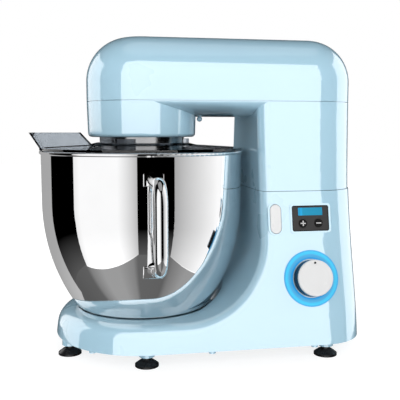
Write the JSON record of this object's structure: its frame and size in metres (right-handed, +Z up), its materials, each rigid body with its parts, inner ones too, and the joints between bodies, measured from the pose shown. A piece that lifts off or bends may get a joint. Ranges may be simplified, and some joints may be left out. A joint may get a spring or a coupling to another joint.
{
  "type": "tilt-head stand mixer",
  "caption": "Tilt-head stand mixer with a steel bowl, splash guard, speed knob, display and planetary tool shaft on a flared base.",
  "frame": {"origin": "on the table, under the axis of the hub and bowl", "axes": "+X from the bowl to the column, -Y to the control side, +Z up"},
  "size_m": [0.3573, 0.288, 0.34],
  "materials": {
    "body_paint": "glossy pale blue paint",
    "bowl_steel": "mirror polished",
    "guard_clear": "clear smoky plastic",
    "neck_metal": "turned satin",
    "white_plastic": "satin white",
    "panel_dark": "smooth dark grey",
    "key_dark": "smooth black",
    "lcd_blue": "lit blue window",
    "ring_blue": "lit translucent blue",
    "foot_rubber": "matte black",
    "belt_rubber": "matte black",
    "gland_black": "matte black",
    "cast_alloy": "as cast",
    "steel_parts": "machined",
    "bronze": "sintered",
    "rotor_iron": "laminated",
    "fan_plastic": "moulded",
    "circuit_board": "green laminate"
  },
  "bodies": {
    "base": {"base_shell": "body_paint", "bottom_cover": "body_paint", "bottom_cover_screws": "steel_parts", "suction_feet": "foot_rubber", "bowl_seat_ring": "cast_alloy", "hinge_bracket": "steel_parts", "hinge_pin": "steel_parts", "bracket_screws": "steel_parts", "button_sleeve": "body_paint", "display_bezel": "body_paint", "display_panel": "panel_dark", "lcd_window": "lcd_blue", "control_board": "circuit_board", "light_ring": "ring_blue", "speed_encoder": "gland_black", "cord_gland": "gland_black", "power_board": "circuit_board"},
    "head": {"arm_housing": "body_paint", "head_top_cover": "body_paint", "cover_screws": "steel_parts", "hinge_bushes": "bronze", "strike_plate": "steel_parts", "guard_stop_pin": "body_paint", "hub_neck": "neck_metal", "neck_screws": "steel_parts", "ring_gear": "steel_parts", "arm_chassis": "cast_alloy", "chassis_screws": "steel_parts", "gear_bridge": "cast_alloy", "shaft_bearings": "steel_parts", "motor_can": "steel_parts", "motor_end_cap": "cast_alloy", "motor_magnets": "rotor_iron", "drive_belt": "belt_rubber"},
    "rotor": {"motor_shaft": "steel_parts", "rotor_core": "rotor_iron", "cooling_fan": "fan_plastic", "motor_pulley": "fan_plastic"},
    "lay_set": {"layshaft": "steel_parts", "pinion": "steel_parts", "driven_pulley": "fan_plastic"},
    "carrier": {"planet_carrier": "neck_metal", "main_shaft": "steel_parts", "main_gear": "steel_parts", "tool_bush": "bronze"},
    "tool": {"tool_shaft": "steel_parts", "planet_gear": "steel_parts", "tool_pin": "steel_parts"},
    "guard": {"splash_guard": "guard_clear"},
    "mixing_bowl": {"bowl": "bowl_steel", "bowl_foot": "bowl_steel", "bowl_handle": "bowl_steel", "handle_plates": "bowl_steel"},
    "knob": {"speed_knob": "white_plastic", "knob_shaft": "steel_parts"},
    "release": {"release_button": "white_plastic", "lock_bolt": "steel_parts"},
    "plus_key": {"plus_button": "key_dark"},
    "minus_key": {"minus_button": "key_dark"}
  },
  "joints": [
    {"name": "head_tilt", "type": "hinge", "parent": "base", "child": "head", "pos_m": [0.222, 0, 0.1847], "axis": [0, 1, 0], "range_deg": [0, 40]},
    {"name": "carrier_spin", "type": "hinge", "parent": "head", "child": "carrier", "pos_m": [0, 0, 0.2167], "axis": [0, 0, 1], "continuous": true},
    {"name": "tool_spin", "type": "hinge", "parent": "carrier", "child": "tool", "pos_m": [0.024, 0, 0.2167], "axis": [0, 0, 1], "continuous": true},
    {"name": "layshaft_spin", "type": "hinge", "parent": "head", "child": "lay_set", "pos_m": [0.045, 0, 0.29], "axis": [0, 0, 1], "continuous": true},
    {"name": "motor_spin", "type": "hinge", "parent": "head", "child": "rotor", "pos_m": [0.172, 0, 0.23], "axis": [0, 0, 1], "continuous": true},
    {"name": "guard_twist", "type": "hinge", "parent": "head", "child": "guard", "pos_m": [0, 0, 0.222], "axis": [0, 0, 1], "range_deg": [0, 25]},
    {"name": "bowl_twist", "type": "hinge", "parent": "base", "child": "mixing_bowl", "pos_m": [0, 0, 0.03], "axis": [0, 0, 1], "range_deg": [-25, 0]},
    {"name": "knob_turn", "type": "hinge", "parent": "base", "child": "knob", "pos_m": [0.1685, -0.092, 0.0835], "axis": [0, 0.9706, -0.2406], "range_deg": [0, 270]},
    {"name": "release_press", "type": "slide", "parent": "base", "child": "release", "axis": [0, 0.9821, -0.1885], "range_m": [0, 0.004], "stiffness_N_per_m": 300},
    {"name": "plus_press", "type": "slide", "parent": "base", "child": "plus_key", "axis": [0, 0.9821, -0.1885], "range_m": [0, 0.0008], "stiffness_N_per_m": 400},
    {"name": "minus_press", "type": "slide", "parent": "base", "child": "minus_key", "axis": [0, 0.9821, -0.1885], "range_m": [0, 0.0008], "stiffness_N_per_m": 400}
  ],
  "couplings": [
    {"joint": "tool_spin", "follows": "carrier_spin", "ratio": -3},
    {"joint": "layshaft_spin", "follows": "carrier_spin", "ratio": -4},
    {"joint": "motor_spin", "follows": "carrier_spin", "ratio": -16}
  ]
}
